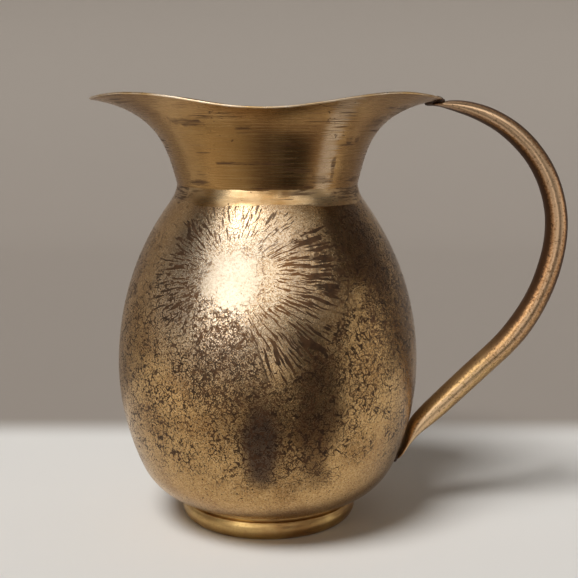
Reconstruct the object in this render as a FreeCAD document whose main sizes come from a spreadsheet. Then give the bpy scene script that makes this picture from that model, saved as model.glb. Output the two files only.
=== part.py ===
import FreeCAD, Part
import math
import os
import re

import Sketcher
from FreeCAD import Placement, Rotation, Vector

# Brass water jug: an egg-shaped belly spun in two halves, a flared collar with a spout,
# a foot band, and a handle bent from tube with both ends hammered flat.
# Millimetres, +Z up, z = 0 on the table. The spout points along -X, the handle along +X.
# The origin is on the table under the middle of the jug's overall box, so the jug's own
# axis stands at x = axis_offset.

SIZES = {
    # where the jug's axis stands
    "axis_offset": -31.55,
    # brass sheet of the belly and the collar
    "sheet": 1.0,
    # belly: its widest circle, then tangent arcs up to the neck and down to the base
    "belly_radius": 75.0,
    "widest_height": 78.6,
    "shoulder_arc": 136.4,
    "flank_arc": 120.8,
    "flank_turn": 24.1,
    "heel_arc": 32.4,
    "heel_end": 73.0,
    "seam_bead": 1.6,
    "seam_bead_bend": 3.0,
    # neck: the shoulder's upstand goes up inside the collar's straight skirt
    "neck_radius": 44.5,
    "upstand": 3.5,
    "skirt_height": 4.0,
    "neck_bead_height": 3.8,
    "neck_bead_reach": 3.2,
    "neck_bead_bend": 45.0,
    # collar: an oval mouth whose edge is high towards both ends and low at the sides
    "spout_reach": 86.2,
    "rear_reach": 84.8,
    "mouth_half_width": 62.0,
    "rim_height": 209.15,
    "rim_wave_two": 1.64,
    "rim_wave_four": -2.17,
    "rim_wave_six": 0.33,
    "skirt_lean": 16.0,
    "skirt_pull": 15.0,
    "lip_pull_end": 35.0,
    "lip_pull_side": 17.0,
    "lip_slope_end": 8.0,
    "lip_slope_side": 40.0,
    # foot band
    "foot_contact": 41.0,
    "foot_edge": 43.3,
    "foot_edge_height": 8.3,
    "foot_bend": 5.8,
    "foot_edge_bend": 0.7,
    "foot_throat": 41.4,
    "foot_throat_height": 9.0,
    "foot_inside": 39.3,
    "foot_hollow_height": 8.2,
    "foot_hollow_bend": 4.6,
    "foot_bead_height": 1.7,
    "foot_bead_reach": 3.4,
    "foot_bead_bend": 12.0,
    # handle: tube, with its centre line in the XZ plane from under the rim to the belly
    "tube_radius": 6.15,
    "tube_wall": 1.0,
    "handle_start": 79.5,
    "handle_top": 207.0,
    "top_rise": 2.5,
    "upper_bend": 61.5,
    "upper_turn": 101.2,
    "lower_bend": 93.6,
    "lower_turn": 37.2,
    "stem_length": 51.4,
    "ankle_bend": 30.0,
    "ankle_turn": 16.2,
    "tongue_length": 15.8,
    # braze at the handle's two ends, as bars placed from the tube's two tips
    "upper_lump_along": 2.6,
    "upper_lump_lift": 1.6,
    "upper_lump_radius": 1.7,
    "upper_lump_width": 17.0,
    "lower_lump_inward": 1.6,
    "lower_lump_lift": 1.2,
    "lower_lump_radius": 3.4,
    "lower_lump_width": 13.0,
}

doc = FreeCAD.newDocument("water_jug")
sheet = doc.addObject("Spreadsheet::Sheet", "Dimensions")
for row, (word, number) in enumerate(SIZES.items(), start=1):
    sheet.set(f"A{row}", word)
    sheet.set(f"B{row}", str(number))
    sheet.setAlias(f"B{row}", word)
doc.recompute()


def bound(formula):
    """The document expression for a formula written in the sheet's own words."""
    return re.sub(r"[a-z_]+", lambda m: f"Dimensions.{m[0]}" if m[0] in SIZES else m[0], formula)


def size(formula):
    """The present value of such a formula."""
    return float(sheet.evalExpression(bound(formula)))


# ---------------------------------------------------------------- turned pieces

def minor_arc(start, end, radius, turns_left):
    """The minor arc joining two points of a sketch, with its centre left or right of the way."""
    chord = end - start
    side = Vector(-chord.y, chord.x, 0).normalize() * (1 if turns_left else -1)
    centre = (start + end) * 0.5 + side * math.sqrt(radius**2 - chord.Length**2 / 4)
    first, last = (start, end) if turns_left else (end, start)
    angles = [math.atan2(p.y - centre.y, p.x - centre.x) for p in (first, last)]
    return Part.ArcOfCircle(Part.Circle(centre, Vector(0, 0, 1), radius), *angles)


def fix_distance(sketch, kind, axis, edge, end, formula):
    """Ties one coordinate of an edge's end to the sheet, or puts that end on the axis at zero."""
    value = size(formula)
    if abs(value) < 1e-9:
        sketch.addConstraint(Sketcher.Constraint("PointOnObject", edge, end, axis))
        return
    rule = sketch.addConstraint(Sketcher.Constraint(kind, -1, 1, edge, end, value))
    sketch.setExpression(f"Constraints[{rule}]", bound(formula))


def turned(label, outline):
    """A body turned about the jug's axis from a closed outline.

    Each step of the outline is (bend, radius, height): the corner that an edge leads to, and
    that edge's bend. No bend is a straight edge, and a minus sign is an arc that turns right.
    """
    body = doc.addObject("PartDesign::Body", label)
    body.Label = label
    plane = next(f for f in body.Origin.OriginFeatures if f.Role == "XZ_Plane")
    sketch = body.newObject("Sketcher::SketchObject", f"{label}_section")
    sketch.AttachmentSupport = (plane, [""])
    sketch.MapMode = "FlatFace"

    corners = [Vector(size(radius), size(height), 0) for _, radius, height in outline]
    ends = []
    for edge, (bend, _, _) in enumerate(outline):
        start, end = corners[edge - 1], corners[edge]
        if bend is None:
            sketch.addGeometry(Part.LineSegment(start, end), False)
            ends.append((1, 2))
            continue
        radius = bend.lstrip("-")
        turns_left = radius == bend
        sketch.addGeometry(minor_arc(start, end, size(radius), turns_left), False)
        ends.append((1, 2) if turns_left else (2, 1))
        rule = sketch.addConstraint(Sketcher.Constraint("Radius", edge, size(radius)))
        sketch.setExpression(f"Constraints[{rule}]", bound(radius))
    for edge, (_, radius, height) in enumerate(outline):
        following = (edge + 1) % len(outline)
        joint = (edge, ends[edge][1], following, ends[following][0])
        sketch.addConstraint(Sketcher.Constraint("Coincident", *joint))
        fix_distance(sketch, "DistanceX", -2, edge, ends[edge][1], radius)
        fix_distance(sketch, "DistanceY", -1, edge, ends[edge][1], height)

    turning = body.newObject("PartDesign::Revolution", f"{label}_turning")
    turning.Profile = sketch
    turning.ReferenceAxis = (sketch, ["V_Axis"])
    turning.Angle = 360
    body.setExpression("Placement.Base.x", bound("axis_offset"))
    return body


# The belly's corners, as formulas: where its flank meets its heel, where its heel meets its
# nearly flat base, and the base's height on the axis.
FLANK_R = "(belly_radius - flank_arc * (1 - cos(flank_turn)))"
FLANK_Z = "(widest_height - flank_arc * sin(flank_turn))"
HEEL_R = f"({FLANK_R} - heel_arc * (cos(flank_turn) - cos(heel_end)))"
HEEL_Z = f"({FLANK_Z} - heel_arc * (sin(heel_end) - sin(flank_turn)))"
BASE_ARC = f"({HEEL_R} / cos(heel_end))"
BASE_Z = f"({HEEL_Z} - {BASE_ARC} * (1 - sin(heel_end)))"


def shoulder_height(radius, depth="0"):
    """The height at which the shoulder has this radius, on its face or a depth inside it."""
    reach = f"(shoulder_arc - belly_radius + {radius})"
    return f"(widest_height + sqrt((shoulder_arc - {depth})^2 - {reach}^2))"


def underside_height(radius):
    """The height of the belly's underside at this radius, inside the heel."""
    return f"({BASE_Z} + {BASE_ARC} - sqrt({BASE_ARC}^2 - ({radius})^2))"


NECK_Z = shoulder_height("neck_radius")


def make_belly_lower_bowl():
    return turned("belly_lower_bowl", [
        (None, "belly_radius", "widest_height"),
        ("-flank_arc", FLANK_R, FLANK_Z),
        ("-heel_arc", HEEL_R, HEEL_Z),
        (f"-{BASE_ARC}", "0", BASE_Z),
        (None, "0", f"{BASE_Z} + sheet"),
        (f"({BASE_ARC} - sheet)", f"{HEEL_R} - sheet * cos(heel_end)", f"{HEEL_Z} + sheet * sin(heel_end)"),
        ("(heel_arc - sheet)", f"{FLANK_R} - sheet * cos(flank_turn)", f"{FLANK_Z} + sheet * sin(flank_turn)"),
        ("(flank_arc - sheet)", "belly_radius - sheet", "widest_height"),
    ])


def make_belly_shoulder():
    inner = "(neck_radius - 2 * sheet)"
    return turned("belly_shoulder", [
        (None, "belly_radius", "widest_height"),
        ("shoulder_arc", "neck_radius", NECK_Z),
        (None, "neck_radius - sheet", NECK_Z),
        (None, "neck_radius - sheet", f"{NECK_Z} + upstand"),
        (None, inner, f"{NECK_Z} + upstand"),
        (None, inner, shoulder_height(inner, "sheet")),
        ("-(shoulder_arc - sheet)", "belly_radius - sheet", "widest_height"),
    ])


def make_belly_seam_braze():
    """A thin bead run round the inside of the seam between the two halves of the belly."""
    bead_r = "(belly_radius - {arc} + sqrt(({arc} - sheet)^2 - seam_bead^2))"
    return turned("belly_seam_braze", [
        ("(flank_arc - sheet)", "belly_radius - sheet", "widest_height"),
        ("(shoulder_arc - sheet)", bead_r.format(arc="shoulder_arc"), "widest_height + seam_bead"),
        ("seam_bead_bend", bead_r.format(arc="flank_arc"), "widest_height - seam_bead"),
    ])


def make_neck_braze():
    """The fillet of braze in the crease between shoulder and collar."""
    reach = "(neck_radius + neck_bead_reach)"
    return turned("neck_braze", [
        ("shoulder_arc", "neck_radius", NECK_Z),
        (None, "neck_radius", f"{NECK_Z} + neck_bead_height"),
        ("neck_bead_bend", reach, shoulder_height(reach)),
    ])


def make_foot_ring():
    return turned("foot_ring", [
        (None, "foot_contact", "0"),
        ("foot_bend", "foot_edge", "foot_edge_height"),
        ("foot_edge_bend", "foot_edge - foot_edge_bend", "foot_edge_height + foot_edge_bend"),
        (None, "foot_throat", "foot_throat_height"),
        (None, "foot_throat", underside_height("foot_throat")),
        (f"-{BASE_ARC}", "foot_inside", underside_height("foot_inside")),
        (None, "foot_inside", "foot_hollow_height"),
        ("-foot_hollow_bend", "foot_inside", "0"),
    ])


def make_foot_braze():
    """The fillet of braze inside the foot band, up against the belly's underside."""
    reach = "(foot_inside - foot_bead_reach)"
    return turned("foot_braze", [
        (None, "foot_inside", underside_height("foot_inside")),
        (f"-{BASE_ARC}", reach, underside_height(reach)),
        ("-foot_bead_bend", "foot_inside", f"{underside_height('foot_inside')} - foot_bead_height"),
    ])


# ---------------------------------------------------------------- collar

# How finely the collar's free-form faces follow their formula, around and upwards.
COLLAR_POINTS = 48
COLLAR_LEVELS = 12


def blend(at_side, at_end, turn):
    """A size that goes smoothly from the mouth's sides to its two ends."""
    return at_side + (at_end - at_side) * math.cos(turn)**2


def collar_meridian(turn):
    """The four poles of the collar's outer curve, from its skirt to its edge, at one turn."""
    outward = Vector(math.cos(turn), math.sin(turn), 0)
    up = Vector(0, 0, 1)
    foot = outward * size("neck_radius") + up * size(f"{NECK_Z} + skirt_height")
    half_length = size("(spout_reach + rear_reach) / 2")
    edge = Vector(size("(rear_reach - spout_reach) / 2") + half_length * outward.x,
                  size("mouth_half_width") * outward.y,
                  size("rim_height") + size("rim_wave_two") * math.cos(2 * turn)
                  + size("rim_wave_four") * math.cos(4 * turn)
                  + size("rim_wave_six") * math.cos(6 * turn))
    lean = math.radians(size("skirt_lean"))
    slope = math.radians(blend(size("lip_slope_side"), size("lip_slope_end"), turn))
    pull = blend(size("lip_pull_side"), size("lip_pull_end"), turn)
    lip_way = Vector(edge.x - foot.x, edge.y - foot.y, 0).normalize()
    rising = outward * math.sin(lean) + up * math.cos(lean)
    flaring = lip_way * math.cos(slope) + up * math.sin(slope)
    return foot, foot + rising * size("skirt_pull"), edge - flaring * pull, edge


def collar_point(poles, along):
    """A point of the outer face: down the skirt where along is negative, else up the curve."""
    if along < 0:
        return poles[0] + Vector(0, 0, along * size("skirt_height"))
    left = 1 - along
    weights = (left**3, 3 * left**2 * along, 3 * left * along**2, along**3)
    return sum((pole * weight for pole, weight in zip(poles, weights)), Vector())


def collar_ring(along, depth):
    """A smooth closed curve round the collar at one level, on its outer face or inside it."""
    nudge = 1e-4
    turns = [2 * math.pi * i / COLLAR_POINTS for i in range(COLLAR_POINTS)]
    points = []
    for turn in turns:
        poles = collar_meridian(turn)
        here = collar_point(poles, along)
        across = collar_point(collar_meridian(turn + nudge), along) - here
        step = -nudge if along == 1 else nudge
        upward = (collar_point(poles, along + step) - here) / step
        points.append(here - across.cross(upward).normalize() * depth)
    ring = Part.BSplineCurve()
    shares = [i / COLLAR_POINTS for i in range(COLLAR_POINTS + 1)]
    ring.interpolate(Points=points, PeriodicFlag=True, Parameters=shares)
    return ring.toShape()


def make_neck_collar():
    """The flared collar: an outer and an inner free-form face, closed along both edges."""
    levels = [-1, -0.5, 0] + [i / COLLAR_LEVELS for i in range(1, COLLAR_LEVELS + 1)]
    walls = []
    for depth in (0, size("sheet")):
        rings = [Part.Wire(collar_ring(level, depth)) for level in levels]
        walls.append(Part.makeLoft(rings, False, False).Faces[0])
    edges = [sorted((edge for edge in wall.Edges if edge.isClosed()),
                    key=lambda edge: edge.CenterOfMass.z) for wall in walls]
    bottom = Part.makeRuledSurface(edges[0][0], edges[1][0])
    rim = Part.makeRuledSurface(edges[0][-1], edges[1][-1])
    shell = Part.Shell([*walls, bottom, rim])
    shell.sewShape()
    collar = doc.addObject("Part::Feature", "neck_collar")
    collar.Label = "neck_collar"
    collar.Shape = Part.makeSolid(Part.Shell(shell.Faces))
    collar.setExpression("Placement.Base.x", bound("axis_offset"))
    return collar


# ---------------------------------------------------------------- handle

# Distance along the tube's centre line, and how thick the tube is left there after its ends
# were hammered flat.
SQUASH = [
    (0, 1.4), (5, 2.4), (11, 5.3), (18, 7.1), (28, 8.7), (45, 10.2), (70, 10.8), (95, 11.2),
    (120, 12.0), (150, 12.3), (180, 12.3), (205, 11.8), (215, 11.2), (223, 9.6), (229, 6.4),
    (234, 3.4), (239, 2.0), (245, 1.6),
]


def handle_point(distance):
    """Where the centre line is after a distance, and the angle at which it heads down."""
    runs = [
        (size("upper_bend"), size("upper_turn")),
        (size("lower_bend"), size("lower_turn")),
        (None, size("stem_length")),
        (-size("ankle_bend"), size("ankle_turn")),
        (None, size("tongue_length")),
    ]
    x, z = size("handle_start"), size("handle_top")
    heading = math.radians(-size("top_rise"))
    for bend, extent in runs:
        length = extent if bend is None else abs(bend) * math.radians(extent)
        step = min(distance, length)
        if bend is None:
            x += step * math.cos(heading)
            z -= step * math.sin(heading)
        else:
            turned_by = step / bend
            x += bend * (math.sin(heading + turned_by) - math.sin(heading))
            z += bend * (math.cos(heading + turned_by) - math.cos(heading))
            heading += turned_by
        distance -= step
    return Vector(x, 0, z), heading


def tube_loft(label, stations, inset):
    """A loft through ellipses that keep the round tube's girth, however flat it is squashed."""
    sections = []
    for number, (distance, thickness) in enumerate(stations):
        centre, heading = handle_point(distance)
        along = Vector(math.cos(heading), 0, -math.sin(heading))
        outward = Vector(math.sin(heading), 0, math.cos(heading))
        section = doc.addObject("Part::Ellipse", f"{label}_section_{number}")
        section.Placement = Placement(centre, Rotation(Vector(0, 1, 0), outward, along, "ZXY"))
        half = thickness / 2
        section.setExpression("MajorRadius", bound(f"sqrt(2 * tube_radius^2 - {half}^2) - {inset}"))
        section.setExpression("MinorRadius", bound(f"{half} - {inset}"))
        sections.append(section)
    loft = doc.addObject("Part::Loft", label)
    loft.Sections = sections
    loft.Solid = True
    loft.Ruled = False
    return loft


def make_handle_tube():
    outside = tube_loft("tube_outside", SQUASH, "0")
    hollow = [station for station in SQUASH if station[1] > size("3 * tube_wall")]
    inside = tube_loft("tube_inside", hollow, "tube_wall")
    handle = doc.addObject("Part::Cut", "handle_tube")
    handle.Label = "handle_tube"
    handle.Base = outside
    handle.Tool = inside
    handle.setExpression("Placement.Base.x", bound("axis_offset"))
    return handle


# ---------------------------------------------------------------- handle's braze

def make_lump(label, centre, radius, width, neighbours):
    """A lump of braze: the largest part that its neighbours leave of a short bar lying across."""
    bar = doc.addObject("Part::Cylinder", f"{label}_bar")
    bar.setExpression("Radius", bound(radius))
    bar.setExpression("Height", bound(width))
    bar.Placement = Placement(centre - Vector(0, size(width) / 2, 0), Rotation(Vector(1, 0, 0), -90))
    doc.recompute()
    pieces = bar.Shape.cut([piece.Shape for piece in neighbours]).Solids
    lump = doc.addObject("Part::Feature", label)
    lump.Label = label
    lump.Shape = max(pieces, key=lambda solid: solid.Volume)
    return lump


lower_bowl = make_belly_lower_bowl()
shoulder = make_belly_shoulder()
seam_braze = make_belly_seam_braze()
neck_braze = make_neck_braze()
foot_ring = make_foot_ring()
foot_braze = make_foot_braze()
collar = make_neck_collar()
handle = make_handle_tube()
doc.recompute()

rim_end = Vector(size("axis_offset + handle_start + upper_lump_along"), 0,
                 size("handle_top + upper_lump_lift"))
upper_lump = make_lump("handle_upper_braze", rim_end, "upper_lump_radius", "upper_lump_width",
                       [collar, handle])
tip, _ = handle_point(SQUASH[-1][0])
toe = tip + Vector(size("axis_offset - lower_lump_inward"), 0, size("lower_lump_lift"))
lower_lump = make_lump("handle_lower_braze", toe, "lower_lump_radius", "lower_lump_width",
                       [lower_bowl, handle])

doc.recompute()
pieces = [lower_bowl, shoulder, seam_braze, neck_braze, foot_ring, foot_braze, collar, handle,
          upper_lump, lower_lump]
for item in doc.Objects:
    if "Invalid" in item.State or "Error" in item.State:
        raise RuntimeError(f"{item.Label} did not build: {item.State}")
for piece in pieces:
    if piece.Shape.isNull() or not piece.Shape.isValid():
        raise RuntimeError(f"{piece.Label} is not a valid solid")

os.makedirs("parts", exist_ok=True)
for piece in pieces:
    piece.Shape.exportStep(f"parts/{piece.Label}.step")
    box = piece.Shape.optimalBoundingBox()
    print(f"{piece.Label}: {piece.Shape.Volume:.0f} mm3, {len(piece.Shape.Solids)} solid, "
          f"x {box.XMin:.2f} to {box.XMax:.2f}, y {box.YMin:.2f} to {box.YMax:.2f}, "
          f"z {box.ZMin:.2f} to {box.ZMax:.2f}")
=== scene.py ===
import math

import bmesh
import bpy
import numpy as np
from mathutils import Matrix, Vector, noise


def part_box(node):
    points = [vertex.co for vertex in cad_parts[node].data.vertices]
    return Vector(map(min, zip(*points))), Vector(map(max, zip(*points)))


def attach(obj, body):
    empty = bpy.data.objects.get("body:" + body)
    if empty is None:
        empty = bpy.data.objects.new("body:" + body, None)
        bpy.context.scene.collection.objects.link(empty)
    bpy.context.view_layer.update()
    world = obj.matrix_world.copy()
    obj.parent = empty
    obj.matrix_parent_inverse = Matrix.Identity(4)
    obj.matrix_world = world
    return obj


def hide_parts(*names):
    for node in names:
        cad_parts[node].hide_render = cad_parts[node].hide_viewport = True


# Brass water jug. The frame is in metres; the sizes below are the CAD model's own driving
# sizes, in millimetres, and the pieces are built in millimetres and scaled once.

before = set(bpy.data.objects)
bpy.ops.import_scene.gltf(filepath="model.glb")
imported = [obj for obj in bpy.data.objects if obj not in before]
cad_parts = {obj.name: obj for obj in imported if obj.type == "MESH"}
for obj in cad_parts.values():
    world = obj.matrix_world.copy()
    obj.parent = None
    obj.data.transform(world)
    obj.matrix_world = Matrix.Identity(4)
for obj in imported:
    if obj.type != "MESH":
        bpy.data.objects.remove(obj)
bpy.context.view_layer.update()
MM = 0.001


def node_box(node):
    """A CAD node's lowest and highest corner, in millimetres."""
    return [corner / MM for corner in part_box(node)]


SHOULDER_BOX = node_box("belly_shoulder")
COLLAR_BOX = node_box("neck_collar")
AXIS_X = (SHOULDER_BOX[0].x + SHOULDER_BOX[1].x) / 2
BELLY_R = (SHOULDER_BOX[1].x - SHOULDER_BOX[0].x) / 2
WIDEST_Z = SHOULDER_BOX[0].z
NECK_Z = COLLAR_BOX[0].z

SHEET = 1.0
SHOULDER_ARC = 136.4
FLANK_ARC = 120.8
FLANK_TURN = math.radians(24.1)
HEEL_ARC = 32.4
HEEL_END = math.radians(73.0)
NECK_R = 44.5
UPSTAND = 3.5
SKIRT_HEIGHT = 4.0
SPOUT_REACH = AXIS_X - COLLAR_BOX[0].x
REAR_REACH = COLLAR_BOX[1].x - AXIS_X
MOUTH_HALF_WIDTH = COLLAR_BOX[1].y
RIM_HEIGHT = 209.15
RIM_WAVES = {2: 1.64, 4: -2.17, 6: 0.33}
SKIRT_LEAN = math.radians(16.0)
SKIRT_PULL = 15.0
LIP_PULL = {"side": 17.0, "end": 35.0}
LIP_SLOPE = {"side": math.radians(40.0), "end": math.radians(8.0)}
TUBE_R = 6.15
BAND_INSIDE = 39.3

# How many points go round a turned piece.
TURNS = 240

# The unevenness of hand work, as (height, length, seed): how far the surface wanders in or out,
# over what length, and which noise. Both halves of the belly share one, so they meet at the seam.
BELLY_WAVES = (0.16, 34.0, 1)
COLLAR_WAVES = (0.22, 26.0, 2)
FOOT_WAVES = (0.12, 16.0, 5)
NECK_BEAD_WAVES = (0.12, 8.0, 11)
FOOT_BEAD_WAVES = (0.12, 8.0, 13)
HANDLE_WAVES = [(0.10, 13.0, 3), (0.16, 30.0, 7)]


# ------------------------------------ mesh helpers

def add_object(name, data):
    made = bpy.data.objects.new(name, data)
    bpy.context.scene.collection.objects.link(made)
    return made


def wavy(points, height, length, seed):
    """A smooth random number for each point, for the small unevenness of hand work."""
    shift = Vector((seed * 17.3, seed * 5.1, -seed * 9.7))
    values = [noise.noise(Vector(point) / length + shift) for point in points]
    return height * np.array(values)


def grid_mesh(name, grid, sharp_rows=(), open_rows=False):
    """A smooth mesh over rows of points that run round the piece, each row a closed ring."""
    rows, columns = grid.shape[:2]
    last = rows - 1 if open_rows else rows
    r, c = np.meshgrid(np.arange(last), np.arange(columns), indexing="ij")
    up, on = (r + 1) % rows, (c + 1) % columns
    quads = np.stack([r * columns + c, r * columns + on, up * columns + on, up * columns + c], -1)
    mesh = bpy.data.meshes.new(name)
    mesh.from_pydata((grid.reshape(-1, 3) * MM).tolist(), [], quads.reshape(-1, 4).tolist())
    sharp = set(sharp_rows)
    form = bmesh.new()
    form.from_mesh(mesh)
    form.verts.ensure_lookup_table()
    for edge in form.edges:
        first, second = (vert.index // columns for vert in edge.verts)
        edge.smooth = not (first == second and first in sharp)
    bmesh.ops.remove_doubles(form, verts=form.verts, dist=1e-8)
    bmesh.ops.recalc_face_normals(form, faces=form.faces)
    for face in form.faces:
        face.smooth = True
    form.to_mesh(mesh)
    form.free()
    piece = add_object(name, mesh)
    return piece


def arc(centre, radius, start, end, count):
    """Points (r, z) along an arc, its angles measured up from straight outward."""
    angles = np.linspace(start, end, count)
    return np.stack([centre[0] + radius * np.cos(angles), centre[1] + radius * np.sin(angles)], -1)


def line(start, end, count=2):
    return np.linspace(start, end, count)


def outline_rows(runs):
    """One closed outline from runs of points, and the rows at which two runs meet in a corner."""
    rows, corners = [], []
    for run in runs:
        corners.append(len(rows))
        rows.extend(run[:-1].tolist())
    return np.array(rows), corners


def spin(outline):
    """The grid of points of an outline (r, z) turned about the jug's axis."""
    turn = np.linspace(0, 2 * math.pi, TURNS, endpoint=False)
    r, z = outline[:, 0, None], outline[:, 1, None]
    return np.stack([AXIS_X + r * np.cos(turn), r * np.sin(turn), z + 0 * turn], -1)


def uneven(grid, height, length, seed):
    """Moves each point of a turned grid in or out a little, nearly alike through the wall."""
    flat = grid.reshape(-1, 3)
    outward = flat - [AXIS_X, 0, 0]
    outward[:, 2] = 0
    reach = np.linalg.norm(outward, axis=1, keepdims=True)
    outward = outward / np.maximum(reach, 1)
    return (flat + outward * wavy(flat, height, length, seed)[:, None]).reshape(grid.shape)


def finish_piece(piece, material, slot, *nodes):
    piece.data.materials.append(material)
    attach(piece, "root")
    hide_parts(*nodes)
    return piece


# ------------------------------------ belly, foot and their seams

FLANK_C = (BELLY_R - FLANK_ARC, WIDEST_Z)
FLANK_END = (FLANK_C[0] + FLANK_ARC * math.cos(FLANK_TURN),
             WIDEST_Z - FLANK_ARC * math.sin(FLANK_TURN))
HEEL_C = (FLANK_END[0] - HEEL_ARC * math.cos(FLANK_TURN),
          FLANK_END[1] + HEEL_ARC * math.sin(FLANK_TURN))
HEEL_TIP = (HEEL_C[0] + HEEL_ARC * math.cos(HEEL_END),
            HEEL_C[1] - HEEL_ARC * math.sin(HEEL_END))
BASE_ARC = HEEL_TIP[0] / math.cos(HEEL_END)
BASE_C = (0, HEEL_TIP[1] + BASE_ARC * math.sin(HEEL_END))
SHOULDER_C = (BELLY_R - SHOULDER_ARC, WIDEST_Z)


def shoulder_z(radius, depth=0.0):
    return WIDEST_Z + math.sqrt((SHOULDER_ARC - depth)**2 - (radius - SHOULDER_C[0])**2)


def underside_z(radius):
    return BASE_C[1] - math.sqrt(BASE_ARC**2 - radius**2)


def bowl_wall(depth, counts):
    """The lower bowl's profile from the middle of its base up to the widest circle."""
    base = arc(BASE_C, BASE_ARC - depth, -math.pi / 2, -HEEL_END, counts[0])
    heel = arc(HEEL_C, HEEL_ARC - depth, -HEEL_END, -FLANK_TURN, counts[1])
    flank = arc(FLANK_C, FLANK_ARC - depth, -FLANK_TURN, 0, counts[2])
    return np.concatenate([base, heel[1:], flank[1:]])


def make_lower_bowl():
    outside = bowl_wall(0, (24, 26, 44))
    inside = bowl_wall(SHEET, (14, 16, 24))[::-1]
    seam = line(outside[-1], inside[0])
    middle = line(inside[-1], outside[0])
    outline, corners = outline_rows([outside, seam, inside, middle])
    grid = uneven(spin(outline), *BELLY_WAVES)
    return grid_mesh("belly_lower_skin", grid, corners[1:3])


def make_shoulder():
    top = math.asin((NECK_Z - WIDEST_Z) / SHOULDER_ARC)
    inner_r = NECK_R - 2 * SHEET
    inner_top = math.acos((inner_r - SHOULDER_C[0]) / (SHOULDER_ARC - SHEET))
    up_z = NECK_Z + UPSTAND
    outside = arc(SHOULDER_C, SHOULDER_ARC, 0, top, 76)
    step = line(outside[-1], (NECK_R - SHEET, NECK_Z))
    upstand = line(step[-1], (NECK_R - SHEET, up_z), 4)
    edge = line(upstand[-1], (inner_r, up_z), 3)
    throat = line(edge[-1], (inner_r, shoulder_z(inner_r, SHEET)), 5)
    inside = arc(SHOULDER_C, SHOULDER_ARC - SHEET, inner_top, 0, 40)
    seam = line(inside[-1], outside[0])
    outline, corners = outline_rows([outside, step, upstand, edge, throat, inside, seam])
    grid = uneven(spin(outline), *BELLY_WAVES)
    return grid_mesh("belly_shoulder_skin", grid, corners)


def make_foot_band():
    """The foot band: a rolled outer face, an edge round its top, and a hollow inside."""
    contact, band_edge, band_top = 41.0, 43.3, 8.3
    throat, throat_z, hollow_z = 41.4, 9.0, 8.2
    roll_bend, lip_bend, hollow_bend = 5.8, 0.7, 4.6
    outer_step, inner_step = 0.35, 0.25
    flat_below = 2.0

    def between(start, end, radius, count, side=1):
        """An arc from start to end that bulges outward, or inward for side -1."""
        (x0, z0), (x1, z1) = start, end
        chord = math.hypot(x1 - x0, z1 - z0)
        drop = math.sqrt(radius**2 - chord**2 / 4)
        cx = (x0 + x1) / 2 - side * drop * (z1 - z0) / chord
        cz = (z0 + z1) / 2 + side * drop * (x1 - x0) / chord
        first, last = (math.atan2(z - cz, x - cx) for x, z in (start, end))
        if last - first > math.pi:
            last -= 2 * math.pi
        if first - last > math.pi:
            last += 2 * math.pi
        return arc((cx, cz), radius, first, last, count)

    roll = between((contact + outer_step, 0.0), (band_edge, band_top), roll_bend, 30)
    lip = between((band_edge, band_top), (band_edge - lip_bend, band_top + lip_bend), lip_bend, 6)
    ledge = line(lip[-1], (throat, throat_z), 4)
    neck = line(ledge[-1], (throat, underside_z(throat)), 4)
    under = line(neck[-1], (BAND_INSIDE, underside_z(BAND_INSIDE)), 4)
    drop = line(under[-1], (BAND_INSIDE, hollow_z), 4)
    hollow = between((BAND_INSIDE, hollow_z), (BAND_INSIDE + inner_step, 0.0), hollow_bend, 16,
                     side=-1)
    sole = line(hollow[-1], roll[0], 4)
    outline, corners = outline_rows([roll, lip, ledge, neck, under, drop, hollow, sole])
    grid = spin(outline)
    above = np.clip(grid[..., 2:] / flat_below, 0, 1)
    waved = uneven(grid, *FOOT_WAVES)
    grid = grid + (waved - grid) * above
    return grid_mesh("foot_band", grid, corners[3:])


def make_fillet(name, start, end, hollow, corner, waves):
    """A soft bead of braze: a hollowed face from start to end, filled back to a corner."""
    (x0, z0), (x1, z1) = start, end
    face = np.array([(x0 + (x1 - x0) * t - hollow * math.sin(math.pi * t),
                      z0 + (z1 - z0) * t - hollow * math.sin(math.pi * t))
                     for t in np.linspace(0, 1, 10)])
    back = line(face[-1], corner, 3)
    close = line(back[-1], face[0], 3)
    outline, corners = outline_rows([face, back, close])
    grid = uneven(spin(outline), *waves)
    return grid_mesh(name, grid, corners)


# ------------------------------------ collar

def collar_curve(turn, along):
    """Points of the collar's outer face at one turn: down the skirt below 0, else up to 1."""
    c, s = math.cos(turn), math.sin(turn)
    outward, up = np.array([c, s, 0.0]), np.array([0.0, 0.0, 1.0])
    foot = outward * NECK_R + up * (NECK_Z + SKIRT_HEIGHT)
    edge = np.array([(REAR_REACH - SPOUT_REACH) / 2 + (REAR_REACH + SPOUT_REACH) / 2 * c,
                     MOUTH_HALF_WIDTH * s,
                     RIM_HEIGHT + sum(h * math.cos(n * turn) for n, h in RIM_WAVES.items())])
    share = c * c
    slope = LIP_SLOPE["side"] + (LIP_SLOPE["end"] - LIP_SLOPE["side"]) * share
    pull = LIP_PULL["side"] + (LIP_PULL["end"] - LIP_PULL["side"]) * share
    way = (edge - foot) * [1, 1, 0]
    way /= np.linalg.norm(way)
    second = foot + (outward * math.sin(SKIRT_LEAN) + up * math.cos(SKIRT_LEAN)) * SKIRT_PULL
    third = edge - (way * math.cos(slope) + up * math.sin(slope)) * pull
    t = np.clip(along, 0, 1)[:, None]
    curve = ((1 - t)**3 * foot + 3 * (1 - t)**2 * t * second
             + 3 * (1 - t) * t**2 * third + t**3 * edge)
    return curve + up * np.minimum(along, 0)[:, None] * SKIRT_HEIGHT


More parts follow.
